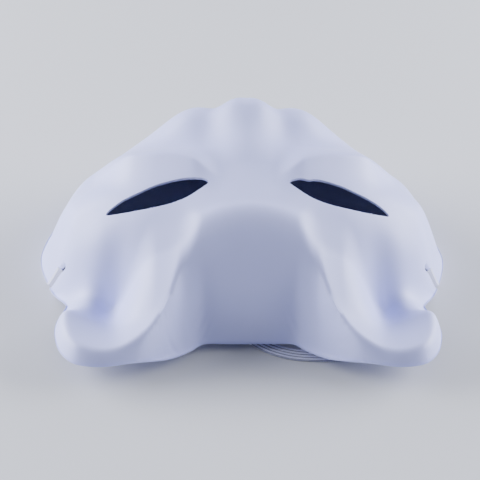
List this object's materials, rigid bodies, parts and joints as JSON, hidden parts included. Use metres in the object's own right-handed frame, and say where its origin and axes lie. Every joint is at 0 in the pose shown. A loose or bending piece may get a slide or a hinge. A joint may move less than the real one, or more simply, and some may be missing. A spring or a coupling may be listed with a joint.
{
  "type": "cat half mask",
  "caption": "Blank moulded cat half mask with rounded ears, almond eye holes, nose ridge and whisker pads, with a flat elastic band.",
  "frame": {"origin": "middle of the mask's bounding box, on the plane of its rim that rests on the table", "axes": "+Z out of the front of the mask (face up), +X across the mask from left to right in the view from the ears, -Y towards the ears, +Y towards the muzzle"},
  "size_m": [0.176, 0.1443, 0.0695],
  "materials": {
    "moulded_sheet": "satin cool white vacuum-formed sheet",
    "elastic": "ribbed white braided elastic",
    "hot_glue": "milky hot-melt glue"
  },
  "bodies": {
    "root": {"mask_shell": "moulded_sheet", "elastic_band": "elastic", "elastic_tail_left": "elastic", "elastic_tail_right": "elastic", "glue_dab_left": "hot_glue", "glue_dab_right": "hot_glue"}
  },
  "joints": []
}
